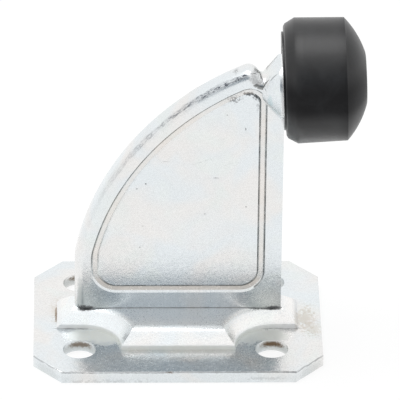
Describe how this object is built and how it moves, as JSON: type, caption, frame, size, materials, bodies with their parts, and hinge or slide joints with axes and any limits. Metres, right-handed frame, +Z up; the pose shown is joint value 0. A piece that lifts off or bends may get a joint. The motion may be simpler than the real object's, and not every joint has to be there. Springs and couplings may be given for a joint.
{
  "type": "floor stop",
  "caption": "Floor stop for a gate or heavy door: a pressed steel fin on a saddle and a bolted base plate, with a rubber buffer at the top of its open side.",
  "frame": {"origin": "middle of the base plate's underside, which lies on the floor", "axes": "+X along the fin towards the buffer, +Y across the plate, +Z up"},
  "size_m": [0.1139, 0.0728, 0.1202],
  "materials": {
    "plate_zinc": "bright zinc plate, lightly marked",
    "saddle_zinc": "bright zinc plate, lightly marked",
    "fin_zinc": "bright zinc plate, lightly marked",
    "insert_steel": "turned steel",
    "buffer_rubber": "moulded, satin"
  },
  "bodies": {
    "root": {"base_plate": "plate_zinc", "saddle": "saddle_zinc", "fin": "fin_zinc", "buffer_insert": "insert_steel", "rubber_buffer": "buffer_rubber"}
  },
  "joints": []
}
